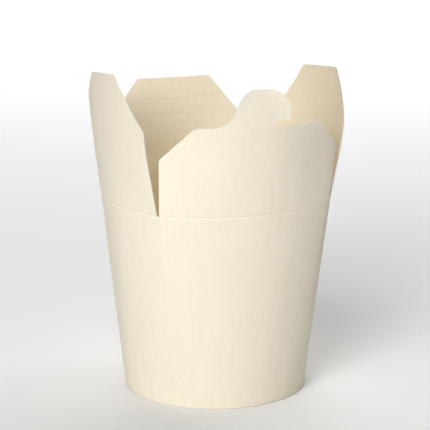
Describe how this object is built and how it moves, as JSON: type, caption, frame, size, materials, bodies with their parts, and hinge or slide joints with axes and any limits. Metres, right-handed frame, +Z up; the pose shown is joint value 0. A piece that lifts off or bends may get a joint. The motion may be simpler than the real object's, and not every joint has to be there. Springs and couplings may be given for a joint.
{
  "type": "noodle takeaway box",
  "caption": "Open empty paper board takeaway box: round foot, rounded square mouth, hinged flaps with corner slits, and a locking tab on the front flap.",
  "frame": {"origin": "middle of the foot ring, on the surface the box stands on", "axes": "+Z up, -Y out through the front flap with the locking tab, +X out through the right flap"},
  "size_m": [0.1146, 0.1261, 0.1605],
  "materials": {
    "board": "matte cream"
  },
  "bodies": {
    "root": {"wall": "board", "base": "board"},
    "front": {"flap_front": "board"},
    "right": {"flap_right": "board"},
    "back": {"flap_back": "board"},
    "left": {"flap_left": "board"}
  },
  "joints": [
    {"name": "front_fold", "type": "hinge", "parent": "root", "child": "front", "pos_m": [0, -0.04172, 0.0967], "axis": [-1, 0, 0], "range_deg": [0, 50]},
    {"name": "right_fold", "type": "hinge", "parent": "root", "child": "right", "pos_m": [0.04172, 0, 0.0967], "axis": [0, -1, 0], "range_deg": [0, 92]},
    {"name": "back_fold", "type": "hinge", "parent": "root", "child": "back", "pos_m": [0, 0.04172, 0.0967], "axis": [1, 0, 0], "range_deg": [0, 75]},
    {"name": "left_fold", "type": "hinge", "parent": "root", "child": "left", "pos_m": [-0.04172, 0, 0.0967], "axis": [0, 1, 0], "range_deg": [0, 105]}
  ]
}
